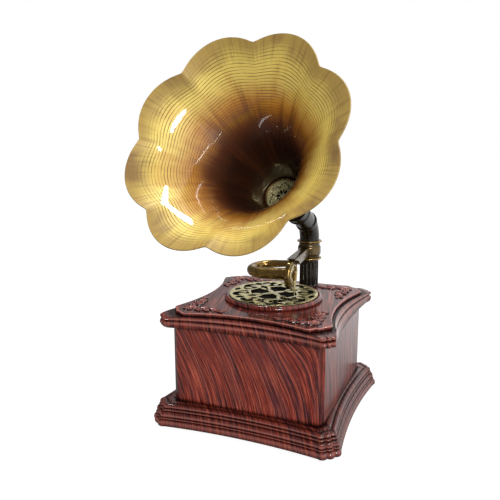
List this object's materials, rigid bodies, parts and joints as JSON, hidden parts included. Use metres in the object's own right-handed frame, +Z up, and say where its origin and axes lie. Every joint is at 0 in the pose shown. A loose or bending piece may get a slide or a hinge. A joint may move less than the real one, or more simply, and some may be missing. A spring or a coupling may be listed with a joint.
{
  "type": "gramophone-style record player",
  "caption": "Ornamental gramophone-style player: moulded wooden base with a pierced disc over its loudspeaker, fluted column, swinging tonearm and a petalled horn that swivels.",
  "frame": {"origin": "on the ground, under the middle of the whole object's bounding box", "axes": "+Z up; the front of the base faces -Y and the horn opens towards -Y and upwards; +X is to the right seen from the front, the side that the column and tonearm stand on"},
  "size_m": [0.181, 0.2392, 0.3351],
  "materials": {
    "rosewood": "high-gloss lacquer over a streaked red-brown grain",
    "carved_wood": "satin lacquer, dark in the recesses",
    "horn_brass": "spun and lacquered, toned brown towards the throat",
    "antique_brass": "antiqued, polished on the edges",
    "dark_bronze": "dark olive bronze, glossy",
    "pale_gold": "pale gold plate",
    "black_plastic": "matte",
    "foot_rubber": "matte",
    "black_cloth": "woven grille cloth",
    "steel": "plated",
    "magnet": "sintered grey",
    "paper_cone": "pressed paper",
    "circuit_board": "solder mask",
    "battery": "shrink wrap"
  },
  "bodies": {
    "base": {"plinth": "rosewood", "base_plate": "black_plastic", "foot_front_left": "foot_rubber", "foot_front_right": "foot_rubber", "foot_rear_right": "foot_rubber", "foot_rear_left": "foot_rubber", "base_screw_front_left": "steel", "base_screw_front_right": "steel", "base_screw_rear_right": "steel", "base_screw_rear_left": "steel", "cabinet": "rosewood", "control_board": "circuit_board", "volume_pot": "steel", "power_switch_body": "steel", "charging_socket": "steel", "audio_socket": "black_plastic", "battery_tray": "black_plastic", "battery_pack": "battery", "lid_board": "rosewood", "top_panel": "rosewood", "carving_front_left": "carved_wood", "carving_front_right": "carved_wood", "carving_rear_right": "carved_wood", "carving_rear_left": "carved_wood", "speaker_frame": "steel", "speaker_magnet": "magnet", "speaker_surround": "black_plastic", "disc_bezel": "rosewood", "speaker_cloth": "black_cloth", "pierced_disc": "pale_gold", "column": "dark_bronze", "column_nut": "steel", "lower_collar": "dark_bronze"},
    "tonearm": {"arm_sleeve": "antique_brass", "tonearm_bar": "antique_brass", "gooseneck": "antique_brass", "soundbox": "antique_brass", "soundbox_ring": "antique_brass", "needle_holder": "antique_brass", "needle": "pale_gold"},
    "horn_and_neck": {"upper_collar": "dark_bronze", "neck_elbow": "dark_bronze", "neck_band": "antique_brass", "horn": "horn_brass", "horn_socket": "dark_bronze", "throat_ring": "antique_brass", "throat_rosette": "pale_gold", "throat_cloth": "black_cloth", "horn_driver": "magnet"},
    "volume": {"volume_knob": "antique_brass"},
    "button_1": {"push_button_1": "antique_brass"},
    "button_2": {"push_button_2": "antique_brass"},
    "button_3": {"push_button_3": "antique_brass"},
    "button_4": {"push_button_4": "antique_brass"},
    "power_slider": {"power_switch_slider": "black_plastic"},
    "cone": {"speaker_cone": "paper_cone", "dust_cap": "paper_cone"}
  },
  "joints": [
    {"name": "tonearm_swing", "type": "hinge", "parent": "base", "child": "tonearm", "pos_m": [0.01581, 0.08978, 0.146], "axis": [0, 0, 1], "range_deg": [-25, 55]},
    {"name": "horn_swivel", "type": "hinge", "parent": "base", "child": "horn_and_neck", "pos_m": [0.01581, 0.08978, 0.155], "axis": [0, 0, 1], "range_deg": [-75, 75]},
    {"name": "volume_turn", "type": "hinge", "parent": "base", "child": "volume", "pos_m": [0.02931, 0.1095, 0.05], "axis": [0, -1, 0], "range_deg": [0, 300]},
    {"name": "button_1_press", "type": "slide", "parent": "base", "child": "button_1", "axis": [0, -1, 0], "range_m": [0, 0.001], "stiffness_N_per_m": 400},
    {"name": "button_2_press", "type": "slide", "parent": "base", "child": "button_2", "axis": [0, -1, 0], "range_m": [0, 0.001], "stiffness_N_per_m": 400},
    {"name": "button_3_press", "type": "slide", "parent": "base", "child": "button_3", "axis": [0, -1, 0], "range_m": [0, 0.001], "stiffness_N_per_m": 400},
    {"name": "button_4_press", "type": "slide", "parent": "base", "child": "button_4", "axis": [0, -1, 0], "range_m": [0, 0.001], "stiffness_N_per_m": 400},
    {"name": "power_slide", "type": "slide", "parent": "base", "child": "power_slider", "axis": [1, 0, 0], "range_m": [0, 0.004]},
    {"name": "cone_travel", "type": "slide", "parent": "base", "child": "cone", "axis": [0, 0, 1], "range_m": [-0.001, 0.001], "stiffness_N_per_m": 1200}
  ]
}
